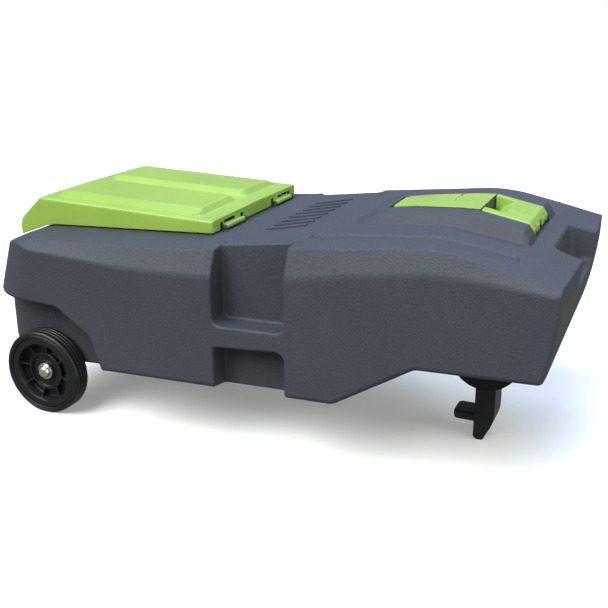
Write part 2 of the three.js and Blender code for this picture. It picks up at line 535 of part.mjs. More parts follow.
// A hexagon-head screw pointing up, its head under z.
const screw = (x, y, z, tip) => join(bar("z", z - 5, z, x, y, 7, 6), bar("z", z - 1, tip, x, y, 3.9, 12));

// ---------------------------------------------------------------- folding stand
function standPieces() {
  const { x, pivotX, z, half, cheek, cheekZ, plateZ } = STAND;
  const plate = box(x - 62, x + 62, -68, 68, plateZ - 4, plateZ);
  const shape = new THREE.Shape();
  shape.moveTo(x + cheek * 0.8, plateZ - 2);
  shape.lineTo(x - cheek * 0.8, plateZ - 2);
  shape.lineTo(x - cheek, cheekZ);
  shape.absarc(x, cheekZ, cheek, Math.PI, 2 * Math.PI, false);
  const cheeks = [-half - 5.5, half + 1.5].map((y) => prism(shape, "y", y, y + 4, 16));
  const holes = STAND_SCREWS.map(([sx, sy]) => bar("z", 240, 262, sx, sy, 4.3, 12));
  const pinHole = (r) => bar("y", -60, 60, pivotX, z, r, 20);
  // The leg's square rear top corner meets this block, so the leg can only fold forwards.
  const stop = box(pivotX - 21, pivotX - 10, -half - 3, half + 3, z + 22.3, z + 44);
  const bracket = cut(join(plate, ...cheeks, stop), pinHole(6.3), ...holes);

  const [rear, front] = [pivotX - 22.5, pivotX + 22.5];
  const post = prism([[rear, z + 22, 2], [rear, 0, 11], [pivotX - 1, 0, 3], [front, 48, 8], [front, z + 22, 22]], "y",
    -half, half);
  const channel = prism([[rear - 5, 68], [front - 8, 68, 6], [front - 8, 138, 6], [rear - 5, 138]], "y",
    -half + 7, half - 7);
  const pedal = prism([[rear - 49, -31, 12], [rear + 6, -31], [rear + 6, 31], [rear - 49, 31, 12]], "z", 44, 58, 5);
  const rib = prism([[rear - 34, 45], [rear + 2, 26], [rear + 2, 45]], "y", -6, 6);
  const treads = steps(rear - 42, rear - 10, 4).map((tx) => box(tx, tx + 3.5, -24, 24, 57, 59.4));
  const leg = cut(join(cut(post, channel), pedal, rib, ...treads), pinHole(6.3));
  const pin = join(bar("y", -half - 9, half + 9, pivotX, z, 6, 16), bar("y", -half - 12, -half - 7, pivotX, z, 10, 16));
  const clip = cut(bar("y", half + 6.2, half + 8.2, pivotX, z, 11, 16), bar("y", half, half + 12, pivotX, z, 6.2, 16));
  const screws = STAND_SCREWS.map(([sx, sy], i) =>
    node(`stand_screw_${i + 1}`, screw(sx, sy, plateZ - 4 - GAP, 274), ZINC));
  return [node("stand_bracket", bracket, BLACK_STEEL), node("stand_leg", leg, BLACK_PLASTIC),
    node("stand_pin", pin, ZINC), node("stand_pin_clip", clip, ZINC), ...screws];
}

// ---------------------------------------------------------------- assembly
const tank = new THREE.Group();
tank.add(
  node("tank_body", tankBody(), GREY_PLASTIC),
  node("storage_lid", storageLid(), GREEN_PLASTIC),
  hingePin("lid_hinge_pin_left", HINGE.inner - 6, HINGE.outer + 6, HINGE.x, HINGE.z, HINGE.pin),
  hingePin("lid_hinge_pin_right", -HINGE.outer - 6, -HINGE.inner + 6, HINGE.x, HINGE.z, HINGE.pin),
  node("port_cover", portCover(), GREEN_PLASTIC),
  hingePin("port_cover_pin", -61, 61, COVER.hingeX, COVER.hingeZ, COVER.pin),
  node("pull_handle", pullHandle(), GREEN_PLASTIC),
  hingePin("pull_handle_pin", -90, 90, HANDLE.hingeX, HANDLE.hingeZ, HANDLE.pin),
  ...inletPieces(),
  ...gaugePieces(),
  ...outletPieces(),
  ...sides.flatMap(wheelPieces),
  ...axlePieces(),
  ...standPieces(),
);
tank.position.x = -LENGTH / 2;

const part = new THREE.Group();
part.add(tank);
export default part;
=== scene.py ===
"""Looks for a wheeled portable holding tank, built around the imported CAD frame.

Moulded parts are described as rounded distance fields in millimetres and skinned by surface
nets, so that every edge has the soft radius of a moulding. In a field, s runs forwards from the
body's rear end, y sideways from its middle plane and z up from the ground; a mirrored field is
only ever asked about y >= 0. Blender works in metres.
"""

import json
import math
from concurrent.futures import ThreadPoolExecutor

import bmesh
import bpy
import numpy as np
from mathutils import Matrix, Vector


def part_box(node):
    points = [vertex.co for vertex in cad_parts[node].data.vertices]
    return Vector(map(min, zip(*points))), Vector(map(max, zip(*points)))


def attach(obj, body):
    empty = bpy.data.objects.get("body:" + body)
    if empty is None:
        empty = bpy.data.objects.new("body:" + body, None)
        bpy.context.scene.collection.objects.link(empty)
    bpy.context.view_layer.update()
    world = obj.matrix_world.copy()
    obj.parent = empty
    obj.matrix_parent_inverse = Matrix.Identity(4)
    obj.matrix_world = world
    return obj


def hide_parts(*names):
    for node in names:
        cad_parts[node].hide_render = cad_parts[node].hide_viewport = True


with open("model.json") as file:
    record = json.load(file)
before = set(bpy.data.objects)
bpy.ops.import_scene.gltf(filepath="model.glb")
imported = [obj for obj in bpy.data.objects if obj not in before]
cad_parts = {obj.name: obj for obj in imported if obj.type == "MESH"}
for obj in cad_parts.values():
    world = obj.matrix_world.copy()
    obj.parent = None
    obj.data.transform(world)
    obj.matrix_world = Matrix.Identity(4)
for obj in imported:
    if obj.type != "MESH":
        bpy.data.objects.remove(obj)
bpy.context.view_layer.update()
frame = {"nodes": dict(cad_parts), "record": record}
MM = 0.001
SLICE = 8  # layers of a grid worked out in one go
THREADS = 4
NUDGE = 0.15  # how far apart two samples are for a field's slope
SHARP = math.radians(24)  # corners sharper than this stay crisp

REAR_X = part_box("tank_body")[0][0]
LENGTH = 1312
HALF_WIDTH = 319

# ---------------------------------------------------------------- fields


def along(points, soft=0.0):
    """A height that runs straight between (station, height) points, softened over soft mm."""
    xs, zs = zip(*points)

    def height(s):
        spread = [-1, -0.5, 0, 0.5, 1] if soft else [0]
        total = sum(np.interp(s + k * soft, xs, zs) for k in spread)
        return (total / len(spread)).astype(np.asarray(s).dtype)

    return height


def both(a, b, r):
    """Where two solids overlap, with the edge between them rounded to r."""
    u = np.maximum(a + r, 0)
    v = np.maximum(b + r, 0)
    return np.minimum(np.maximum(a, b), -r) + np.sqrt(u * u + v * v)


def either(a, b, r):
    """Two solids joined, with the corner between them filled to radius r."""
    return -both(-a, -b, r)


def without(a, b, r):
    """Solid a with b scooped out and the lip rounded to r."""
    return both(a, -b, r)


def ramp(value, width):
    """Rises from 0 to 1 over width, half way at 0."""
    return np.clip(value / width + 0.5, 0, 1)


def over(z, height, slope=0.0):
    """Distance above a sloping height."""
    return (z - height) / np.sqrt(1 + slope * slope)


def slab(value, low, high):
    """Inside where value is between low and high."""
    return np.maximum(low - value, value - high)


def cylinder(u, v, at, radius):
    """Distance outside a round bar seen end on."""
    return np.sqrt((u - at[0]) ** 2 + (v - at[1]) ** 2) - radius


def slope_of(height, s):
    """A height's slope at s, measured over 4 mm."""
    return (height(s + 2) - height(s - 2)) / 4


def brick(s, y, z, low, high, r):
    """A box between two corners with rounded edges."""
    across = both(slab(s, low[0], high[0]), slab(y, low[1], high[1]), r)
    return both(across, slab(z, low[2], high[2]), r)


def line_side(u, v, start, end):
    """Signed distance from the line start to end; positive on its left-hand side."""
    (u0, v0), (u1, v1) = start, end
    length = math.hypot(u1 - u0, v1 - v0)
    return ((v - v0) * (u1 - u0) - (u - u0) * (v1 - v0)) / length


# ---------------------------------------------------------------- skinning


def surface_nets(values, axes):
    """Vertices and quads of the zero level of a sampled field."""
    cells = np.array(values.shape) - 1
    corner_cells, crossings, quads = [], [], []
    for a in range(3):
        b, c = (a + 1) % 3, (a + 2) % 3
        low = [slice(None)] * 3
        high = [slice(None)] * 3
        low[a] = slice(0, -1)
        high[a] = slice(1, None)
        first, second = values[tuple(low)], values[tuple(high)]
        hit = (first < 0) != (second < 0)
        index = np.argwhere(hit)
        v0, v1 = first[hit], second[hit]
        step = axes[a][1] - axes[a][0]
        point = np.stack([axes[d][index[:, d]] for d in range(3)], axis=1)
        point[:, a] += v0 / (v0 - v1) * step
        ring = []
        for ob, oc in ((0, 0), (-1, 0), (-1, -1), (0, -1)):
            cell = index.copy()
            cell[:, b] += ob
            cell[:, c] += oc
            ring.append(np.ravel_multi_index(cell.T, cells, mode="clip"))
        ring = np.stack(ring, axis=1)
        flip = v0 >= 0
        ring[flip] = ring[flip][:, ::-1]
        quads.append(ring)
        corner_cells.append(ring.ravel())
        crossings.append(np.repeat(point, 4, axis=0))
    _, inverse = np.unique(np.concatenate(corner_cells), return_inverse=True)
    crossings = np.concatenate(crossings)
    count = np.bincount(inverse)
    middles = [np.bincount(inverse, weights=crossings[:, d]) / count for d in range(3)]
    vertices = np.stack(middles, axis=1)
    return vertices, inverse.reshape(-1, 4)


def mesh_from(name, vertices, quads):
    """An object in the scene made of quads."""
    mesh = bpy.data.meshes.new(name)
    mesh.vertices.add(len(vertices))
    mesh.vertices.foreach_set("co", np.ascontiguousarray(vertices, dtype=np.float32).ravel())
    mesh.loops.add(quads.size)
    mesh.loops.foreach_set("vertex_index", quads.astype(np.int32).ravel())
    mesh.polygons.add(len(quads))
    mesh.polygons.foreach_set("loop_start", np.arange(0, quads.size, 4, dtype=np.int32))
    mesh.update(calc_edges=True)
    mesh.validate()
    mesh.shade_smooth()
    obj = bpy.data.objects.new(name, mesh)
    bpy.context.scene.collection.objects.link(obj)
    return obj


def apply_modifiers(obj):
    """The object's mesh, replaced by what its modifiers make of it."""
    graph = bpy.context.evaluated_depsgraph_get()
    graph.update()
    mesh = bpy.data.meshes.new_from_object(obj.evaluated_get(graph))
    obj.modifiers.clear()
    obj.data = mesh


def sampled(field, axes):
    """The field on a grid, worked out slice by slice on a few threads."""
    s, y, z = np.ix_(*(axis.astype(np.float32) for axis in axes))
    shape = [len(y.ravel()), len(z.ravel())]

    def slice_from(start):
        part = s[start : start + SLICE]
        return np.broadcast_to(field(part, y, z), [len(part), *shape]).astype(np.float32)

    with ThreadPoolExecutor(THREADS) as pool:
        return np.concatenate(list(pool.map(slice_from, range(0, len(s), SLICE))))


def settled(vertices, field, reach):
    """Vertices moved along the field's gradient on to its zero level, in two rounds."""

    def settle(points):
        for _ in range(2):
            value = field(*points.T)
            slopes = [field(*(points + NUDGE * axis).T) - value for axis in np.eye(3)]
            gradient = np.stack(slopes, axis=1) / NUDGE
            square = np.maximum((gradient**2).sum(axis=1), 0.2)
            points = points - np.clip(value / square, -reach, reach)[:, None] * gradient
        return points

    with ThreadPoolExecutor(THREADS) as pool:
        return np.concatenate(list(pool.map(settle, np.array_split(vertices, 4 * THREADS))))


def moulded(name, field, low, high, step, keep, mirror=False):
    """A mesh of field(s, y, z) < 0 inside a box, sampled every step millimetres.

    keep is the share of its faces that is left after thinning; mirror doubles a y >= 0 half.
    """
    axes = [np.arange(a, b + step, step, dtype=float) for a, b in zip(low, high)]
    if mirror:
        axes[1] = np.arange(0, high[1] + step, step, dtype=float)
    values = sampled(field, axes)
    if mirror:
        values = np.concatenate([values[:, :0:-1], values], axis=1)
        axes[1] = np.concatenate([-axes[1][:0:-1], axes[1]])
    vertices, quads = surface_nets(values, axes)
    whole = (lambda s, y, z: field(s, np.abs(y), z)) if mirror else field
    vertices = settled(vertices, whole, step / 2) * MM
    vertices[:, 0] += REAR_X
    obj = mesh_from(name, vertices, quads)
    thin = obj.modifiers.new("thin", "DECIMATE")
    thin.ratio = keep
    apply_modifiers(obj)
    obj.data.set_sharp_from_angle(angle=SHARP)
    weigh = obj.modifiers.new("weigh", "WEIGHTED_NORMAL")
    weigh.weight = 60
    weigh.keep_sharp = True
    apply_modifiers(obj)
    return obj


# ---------------------------------------------------------------- tank body

# Outlines run from the rear to the nose: (station, height) or (station, half width).
CROWN = along([(0, 388), (36, 402), (124, 436), (558, 458), (645, 460), (787, 481), (898, 494),
               (1054, 508), (1205, 490), (1253, 478), (LENGTH, 462)], 22)
SHOULDER = along([(0, 383), (36, 396), (104, 424), (370, 434), (446, 437), (594, 450), (640, 458),
                  (772, 474), (898, 487), (1054, 504), (1111, 500), (1184, 485), (LENGTH, 456)], 22)
SHOULDER_Y = along([(0, 295), (600, 295), (1054, 300), (LENGTH, 307)])
BELTLINE = along([(0, 376), (36, 390), (100, 415), (138, 405), (385, 391), (600, 396), (773, 413),
                  (909, 438), (1053, 459), (1192, 456), (LENGTH, 446)], 14)
BELLY = along([(0, 168), (60, 122), (220, 122), (337, 129), (875, 151), (1042, 255), (1400, 270)], 6)
BAND_START, BAND_END = 787, 1205
BAND_Y = along([(BAND_START, 204), (1054, 213), (BAND_END, 224)])
MOUND_TOP = along([(835, 486), (848, 495), (888, 515), (960, 524), (1054, 532), (1099, 534),
                   (1198, 515), (1209, 501), (1216, 484)], 1)
MOUND_FOOT = along([(835, 96), (862, 122), (1054, 135), (1216, 155)])
MOUND_HEAD = along([(835, 92), (888, 99), (1054, 115), (1203, 138), (1216, 142)])
ARCH = along([(-60, 290), (22, 287), (50, 283), (203, 276), (289, 218), (312, 160)], 5)
HANDLE_BED = along([(1090, 516), (1100, 514), (1188, 499), (1190, 485), (1220, 485)])
LID_SEAM = along([(0, 388), (36, 402), (124, 436), (558, 458), (645, 460)], 22)
REAR_SLOPE = ((0, 292), (38, 412))
NOSE_SLOPE = ((LENGTH, 385), (LENGTH - 52, 198))
NOSE_BOW = 12
TOP_FLAT = 205
BAND_OUT = 265
BAND_DROP = 5.5
MOUND_START, MOUND_END = 836, 1217
RECESS_WALL = 262
ARCH_FRONT = 312
POCKET_REAR, POCKET_FRONT = 605, 769
BAR_COUNT, BAR_PITCH, BAR_HALF = 8, 276 / 7, 6.5
BAR_REAR = 648
LOCKER_START, LOCKER_END, LOCKER_HALF = 110, 530, 170
LOCKER_FLOOR = 325
RIM_START, RIM_END, RIM_HALF = 98, 540, 182
GRIP_REAR, GRIP_HALF, GRIP_FLOOR = 1253, 100, 398
PORT_START, PORT_END, PORT_HALF = 898, 1091, 56
PORT_FLOOR = 488
TROUGH_START, TROUGH_END, TROUGH_HALF = 1100, 1214, 82
FINGER_START, FINGER_END, FINGER_HALF = 1101, 1142, 60
FINGER_FLOOR = 492
PAD_START, PAD_END, PAD_HALF = 1053, 1193, 75
PAD_BOTTOM = 255
BAY_FRONT, BAY_HALF, BAY_TOP = 60, 75, 262
OUTLET_Z = 180
INLET_AT = (1030, 0)
GAUGE_AT = (938, 0)
HINGE_AT = (564, 466)


def top_height(s, y):
    """The upper skin, with the lowered bands either side of the mound."""
    crown, shoulder, edge = CROWN(s), SHOULDER(s), SHOULDER_Y(s)
    top = crown + (shoulder - crown) * np.maximum((y - TOP_FLAT) / (edge - TOP_FLAT), 0)
    inner = BAND_Y(s)
    outward = np.clip((y - inner) / (BAND_OUT - inner), 0, 1)
    in_band = ramp(y - inner, 4) * ramp(s - BAND_START, 4) * ramp(BAND_END + 14 * outward - s, 3)
    return top - BAND_DROP * (1 - outward) * in_band


def body_shell(s, y, z):
    """The tank without its mound and recesses."""
    shoulder, edge, belt = SHOULDER(s), SHOULDER_Y(s), BELTLINE(s)
    f_top = over(z, top_height(s, y), slope_of(CROWN, s))
    fall = (shoulder - belt) / (HALF_WIDTH - edge)
    f_chamfer = over(z, shoulder - fall * (y - edge), fall)
    f_side = y - HALF_WIDTH
    belly = BELLY(s) + 12 * np.clip((y - 255) / 64, 0, None)
    f_belly = over(belly, z, slope_of(BELLY, s))
    f_rear = both(-s, line_side(s, z, *REAR_SLOPE), 26)
    nose = LENGTH - NOSE_BOW * (y / HALF_WIDTH) ** 2
    f_front = both(s - nose, line_side(s, z, *NOSE_SLOPE), 24)
    walls = both(f_rear, f_side, 100)
    walls = both(walls, f_front, 9)
    cap = both(f_top, f_chamfer, 2)
    shell = both(walls, cap, 3)
    return both(shell, f_belly, 10)


def mound(s, y, z):
    """The raised mound that carries the cover and the handle."""
    top, head, foot = MOUND_TOP(s), MOUND_HEAD(s), MOUND_FOOT(s)
    rise = np.maximum(top - CROWN(s), 1)
    run = foot - head
    f_top = over(z, top, slope_of(MOUND_TOP, s))
    f_side = ((y - head) * rise + (z - top) * run) / np.sqrt(rise**2 + run**2)
    body = both(f_top, f_side, 1.5)
    ends = slab(s, MOUND_START, MOUND_END)
    return np.maximum(np.maximum(body, y - foot - 4), np.maximum(440 - z, ends))


def wheel_arch(s, y, z):
    """The room over a wheel, with a round corner behind it."""
    lower_wall = both(-s, y - RECESS_WALL, 62)
    roof = over(z, ARCH(s), slope_of(ARCH, s))
    return np.maximum(both(both(-lower_wall, roof, 12), s - ARCH_FRONT, 14), -40 - s)


def hand_pockets(s, y, z):
    """Two pockets in the side: one open at the top, and one below it, open at the bottom."""
    wall = RECESS_WALL - y
    rear, front, width = POCKET_REAR, POCKET_FRONT, POCKET_FRONT - POCKET_REAR
    floor = over(293 + 5 * (s - rear) / width, z)
    upper = both(both(both(rear - s, s - front, 1), floor, 18), wall, 6)
    rear, front = rear + 1, front + 1
    ceiling = over(z, 244 + 13 * (s - rear) / width)
    lower = both(both(both(rear - s, ceiling, 8), s - front, 22), wall, 6)
    return upper, lower


def tread_bars(s, y, z):
    """Plain bars across the waist, all slanting the same way."""
    lean = (s - BAR_REAR) * 26 / 88
    bars = [np.abs(y - (k * BAR_PITCH - 141 + lean)) - BAR_HALF for k in range(BAR_COUNT)]
    nearest = np.minimum.reduce(bars)
    ends = slab(s, BAR_REAR + 2, BAR_REAR + 86)
    depth = slab(z - CROWN(s), -5, 3.4)
    return both(both(nearest, ends, 3), depth, 0.8)


def body_field(s, y, z):
    """The tank with its mound, locker, grip notch, wheel arches, pockets, bay and port well."""
    body = body_shell(s, y, z)
    body = either(body, mound(s, y, z), 1.5)
    locker_wall = both(slab(s, LOCKER_START, LOCKER_END), y - LOCKER_HALF, 26)
    rim = both(slab(s, RIM_START, RIM_END), y - RIM_HALF, 34)
    body = either(body, np.maximum(both(rim, z - 470, 3), 400 - z), 3)
    body = without(body, np.maximum(locker_wall, LOCKER_FLOOR - z), 3)
    grip_side = GRIP_HALF + 16 * (s - GRIP_REAR) / 60
    grip_back = 1262 - 9 * (z - GRIP_FLOOR) / 80
    grip = both(both(grip_back - s, y - grip_side, 14), GRIP_FLOOR - z, 12)
    body = without(body, grip, 5)
    body = without(body, wheel_arch(s, y, z), 7)
    for pocket in hand_pockets(s, y, z):
        body = without(body, pocket, 5)
    outlet_bay = both(both(s - BAY_FRONT, y - BAY_HALF, 8), z - BAY_TOP, 8)
    body = without(body, outlet_bay, 7)
    port = both(both(slab(s, PORT_START, PORT_END), y - PORT_HALF, 5), PORT_FLOOR - z, 3)
    body = without(body, port, 1.5)
    trough = np.maximum(slab(s, TROUGH_START, TROUGH_END), y - TROUGH_HALF)
    body = without(body, np.maximum(trough, HANDLE_BED(s) - z), 1.5)
    fingers = both(slab(s, FINGER_START, FINGER_END), y - FINGER_HALF, 6)
    body = without(body, np.maximum(fingers, FINGER_FLOOR - z), 3)
    pad = np.maximum(slab(s, PAD_START, PAD_END), y - PAD_HALF)
    return either(body, np.maximum(pad, slab(z, PAD_BOTTOM, 300)), 4)


def tank_field(s, y, z):
    """The whole tank: its holes for the fittings and the ears that hold the lid's pins."""
    body = body_field(s, y, z)
    outlet = cylinder(y, z, (0, OUTLET_Z), 38.5)
    inlet = cylinder(s, y, INLET_AT, 28.5)
    gauge = cylinder(s, y, GAUGE_AT, 20.5)
    body = np.maximum(body, -np.maximum(outlet, slab(s, 40, 95)))
    body = np.maximum(body, -np.maximum(inlet, slab(z, 450, 500)))
    body = np.maximum(body, -np.maximum(gauge, slab(z, 455, 500)))
    ears = np.minimum(slab(y, 76, 83), slab(y, 170, 177))
    crest = np.maximum(cylinder(s, np.maximum(z, HINGE_AT[1]), HINGE_AT, 5.6), 440 - z)
    return np.minimum(body, np.maximum(ears, crest))


# ---------------------------------------------------------------- storage lid

LID_TOP = along([(36, 427), (44, 449), (100, 500), (558, 487)], 3)
LID_START, LID_END = 36, 558
LID_HALF = 215
LID_SHELL = 4
LID_CROWN = 2
PANEL_INNER, PANEL_OUTER = 8, 202
PANEL_RISE = 12.5
OUTER_BEVEL = 34
INNER_BEVEL = 21


def lid_plane(s, y):
    """The height of the lid's slightly crowned top."""
    return LID_TOP(s) + LID_CROWN * (1 - y / LID_HALF)


def lid_panels(s, y, z):
    """A raised panel either side of the middle, with a bevel all round and round corners."""
    base = lid_plane(s, y)
    shape = both(both(128 - s, s - 515, 1), slab(y, 20, 190), 24)
    inner, outer = (
        ((edge * PANEL_RISE) + run * (z - base)) / math.hypot(PANEL_RISE, run)
        for edge, run in ((PANEL_INNER - y, INNER_BEVEL), (y - PANEL_OUTER, OUTER_BEVEL))
    )
    ends = (both(126 - s, s - 517, 1) + 1.1 * (z - base)) / 1.49
    round_ends = (shape + 1.0 * (z - base - 4)) / 1.41
    bevel = both(both(both(inner, outer, 2), ends, 5), round_ends, 5)
    top = over(z, base + PANEL_RISE)
    return np.maximum(both(top, bevel, 1.5), base - 20 - z)


def lid_skin(s, y, z):
    """The lid's outside, as if it were solid."""
    top = over(z, lid_plane(s, y), slope_of(LID_TOP, s))
    ends = slab(s, LID_START, LID_END)
    corner = (y - LID_HALF + z - LID_TOP(s) + 4) / 1.414
    walls = both(ends, y - LID_HALF, 7)
    roof = both(both(top, corner, 3), walls, 2)
    return either(roof, lid_panels(s, y, z), 1.5)


def lid_field(s, y, z):
    """The lid as a shell with knuckles, slots, a thumb notch and room for the tank's ears."""
    skin = lid_skin(s, y, z)
    hem = np.maximum(LID_SEAM(s), 380) + 2.2 - z
    shell = both(both(skin, -(skin + LID_SHELL), 1), hem, 1)
    reach = slab(y, 84, 169)
    barrel = np.maximum(cylinder(s, z, HINGE_AT, 5.5), reach)
    web = np.maximum(both(slab(s, 553, 564), slab(z, 462, 469.5), 1), reach)
    shell = either(shell, np.minimum(barrel, web), 2.5)
    slot = brick(s, y, z, (546, 113, 471.7), (568, 163, 478), 1.5)
    thumb = both(both(slab(s, 26, 46), y - 45, 6), z - 411, 6)
    beside_ears = np.minimum(slab(y, 74, 86), slab(y, 167, 179))
    ear_room = np.maximum(beside_ears, np.maximum(slab(s, 546, 562), z - 477))
    for hole in (slot, thumb, ear_room):
        shell = both(shell, -hole, 0.8)
    pin = np.maximum(cylinder(s, z, HINGE_AT, 2.8), y - 200)
    return np.maximum(shell, -pin)


# ---------------------------------------------------------------- port cover and pull handle

COVER_TOP = along([(905, 518), (960, 525.5), (1054, 534), (1099, 536)], 4)
COVER_HALF = along([(905, 52), (925, 58), (1099, 79)])
COVER_PIN = (909, 511)
HANDLE_TOP = along([(1101, 536), (1198, 517), (1208.5, 502)], 1)
HANDLE_PIN = (1200, 497)
HANDLE_START, HANDLE_END = 1101.6, 1208.5
HANDLE_HALF = 80
DEPTH = 12


def cover_field(s, y, z):
    """The cover: a hollow plate that fits the port, with knuckles and a crease on one side."""
    wide = np.abs(y)
    top = COVER_TOP(s)
    crown = over(z, top + 0.6 * (1 - wide / 80), slope_of(COVER_TOP, s))
    plate = both(crown, both(wide - COVER_HALF(s), slab(s, 905, 1098.5), 3), 1.2)
    plate = np.maximum(plate, top - DEPTH - z)
    in_port = both(slab(s, 899, 1090), wide - 55, 2)
    plate = np.maximum(plate, np.minimum(in_port, MOUND_TOP(s) + 0.9 - z))
    under = np.maximum(np.maximum(z - top + 4.5, wide - COVER_HALF(s) + 4), slab(s, 921, 1094.5))
    plate = both(plate, -under, 0.8)
    reach = slab(wide, 14, 40)
    knuckles = np.maximum(reach, cylinder(s, z, COVER_PIN, 6))
    web = np.maximum(reach, both(slab(s, COVER_PIN[0], 925), slab(z, 506, 514), 1))
    plate = np.minimum(plate, np.minimum(knuckles, web))
    step = np.maximum(slab(wide, 44, 60), s - 912)
    crease = both(slab(s, 1025.5, 1029.5) - 0.8 * np.clip(z - top, -3, 0), -12 - y, 1)
    groove = np.maximum(crease, top - 1.3 - z)
    plate = both(both(plate, -step, 0.8), -groove, 0.6)
    return np.maximum(plate, -cylinder(s, z, COVER_PIN, 3.3))


def handle_field(s, y, z):
    """The pull handle: a hollow plate with a finger dish behind and two ribbed thumb patches."""
    top = HANDLE_TOP(s)
    crown = over(z, top + 0.5 * (1 - y / HANDLE_HALF), slope_of(HANDLE_TOP, s))
    plate = both(crown, (y - HANDLE_HALF + z - top + 2) / 1.414, 1)
    plate = both(plate, both(y - HANDLE_HALF, slab(s, HANDLE_START, HANDLE_END), 3), 1.2)
    plate = np.maximum(plate, top - DEPTH - z)
    under = both(both(slab(s, 1124, 1190), y - 72, 3), z - (top - 9), 2)
    plate = both(plate, -under, 1)
    floor = line_side(s, z, (1112, 507.5), (1146, 527.4))
    bottom = np.maximum(-floor - 5, 504 - z)
    tray = both(both(crown, y - 59, 1.2), both(slab(s, HANDLE_START, 1150), bottom, 1), 1)
    plate = np.minimum(plate, tray)
    dish = both(both(-floor, s - 1146, 1), both(y - 55, 1090 - s, 1), 3)
    gap = both(s - 1112, both(y - 55, 480 - z, 1), 1)
    for hollow in (dish, gap):
        plate = both(plate, -hollow, 1.2)
    barrel = both(cylinder(s, z, HANDLE_PIN, 6), y - 74, 1)
    plate = either(plate, barrel, 1.5)
    for first in (1152, 1173):
        rows = np.minimum.reduce([np.abs(s - first - 1 - k) - 1.2 for k in (0, 4.4, 8.8)])
        ribs = both(both(rows, slab(y, 3, 26), 0.5), slab(z - top, -2, 1.1), 0.5)
        plate = either(plate, ribs, 0.4)
    tip = both(slab(s, 1202.5, 1213), both(y - 14, z - 506, 2), 2)
    dents = both(both(slab(y, 44, 60), 1204 - s, 1), z - 509, 1)
    for hole in (tip, dents):
        plate = both(plate, -hole, 1)
    return np.maximum(plate, -cylinder(s, z, HANDLE_PIN, 3.3))


# ---------------------------------------------------------------- folding stand

PIVOT = (1127.5, 165)
LEG_HALF = 22.5
LEG_TOP = 187


def leg_field(s, y, z):
    """The leg: a post hollowed from behind, its pedal with tread rows, and the brace below it."""
    rear, front = PIVOT[0] - LEG_HALF, PIVOT[0] + LEG_HALF
    toe = line_side(s, z, (PIVOT[0] - 1, 0), (front, 48))
    post = both(both(rear - s, -z, 11), both(-toe, s - front, 8), 3)
    post = both(post, z - LEG_TOP, 2)
    crown = both(cylinder(s, z, PIVOT, 23), z - LEG_TOP, 2)
    post = np.maximum(post, np.where((s > PIVOT[0]) & (z > PIVOT[1]), crown, -40))
    post = both(post, y - 37, 2.5)
    channel = both(both(slab(s, rear - 9, front - 8), slab(z, 68, 138), 5), y - 30, 4)
    post = both(post, -channel, 2)
    pedal = both(both(both(rear - 49 - s, y - 31, 12), s - rear - 4, 1), slab(z, 44, 58), 2.5)
    lip = both(both(both(rear - 47.5 - s, y - 29.5, 11), s - rear - 4, 1), slab(z, 40, 46), 1)
    under = -line_side(s, z, (rear - 40, 44), (rear + 2, 24))
    brace = np.maximum(np.maximum(under, z - 45), np.maximum(y - 6, s - rear - 2))
    leg = either(post, pedal, 3)
    leg = either(leg, lip, 1)
    leg = either(leg, brace, 2)
    rows = np.minimum.reduce([np.abs(s - rear + 40.2 - 8 * k) - 1.9 for k in range(5)])
    treads = both(both(rows, y - 24, 0.6), slab(z, 56, 59.4), 0.8)
    leg = either(leg, treads, 0.5)
    return np.maximum(leg, -cylinder(s, z, PIVOT, 6.3))


# ---------------------------------------------------------------- wheels

WHEEL_S, WHEEL_R, WHEEL_Y = 140, 101.6, 291.5
RIBS = 8
RIM_IN, RIM_OUT = 67, 87
RING_IN, RING_OUT = 41.5, 46
AXLE_HOLE = 8.4
GROOVES = (-9, 0, 9)
GROOVE_DEPTH = 3.4
# Half sections of the nut and washer: (radius, distance out from the wheel's middle, corner).
DOME = [(8.4, 10.4, 0.4), (15, 10.4, 0.8), (15, 14, 3), (11, 20, 3), (0, 22.4, 0), (0, 19.4, 0),
        (8.4, 19.4, 1)]
WASHER = [(8.3, 8.3, 0.4), (20, 8.3, 0.8), (19.5, 10.1, 0.8), (8.3, 10.1, 0.4)]


def hub_field(side):
    """A dished hub: rim, ring and boss with eight short ribs in the trough between them."""

    def field(s, y, z):
        h = side * y - WHEEL_Y
        across, up = s - WHEEL_S, z - WHEEL_R
        r = np.sqrt(across**2 + up**2)
        rim = both(both(RIM_IN - r, r - RIM_OUT, 0.5), slab(h, -20, 20), 2.5)
        dish = both(rim, line_side(r, h, (65, 0), (71, 20)), 1.5)
        web = np.maximum(r - 76, slab(h, -9, np.where(r < 43, 1.2, -3)))
        ring = both(slab(r, RING_IN, RING_OUT), slab(h, -8, 8), 1)
        boss = both(both(r - 23.5, slab(h, -6, 8), 1.5), r - 30, 1)
        rear_boss = both(r - 22, slab(h, -21, 0), 1.5)
        hub = either(either(dish, web, 2.5), ring, 1.8)
        hub = either(hub, np.minimum(boss, rear_boss), 2)
        angle = np.arctan2(up, across)
        turn = 2 * np.pi / RIBS
        off = (angle + np.pi / 16) / turn
        sideways = np.abs((off - np.round(off)) * turn * r)
        rib_top = h - 7 - 0.33 * (r - 44)
        rib_ends = np.maximum(slab(r, 44, 70), -8 - h)
        rib = both(both(sideways - 1.5, rib_top, 0.7), rib_ends, 0.7)
        hub = either(hub, rib, 1.2)
        return np.maximum(hub, AXLE_HOLE - r)

    return field


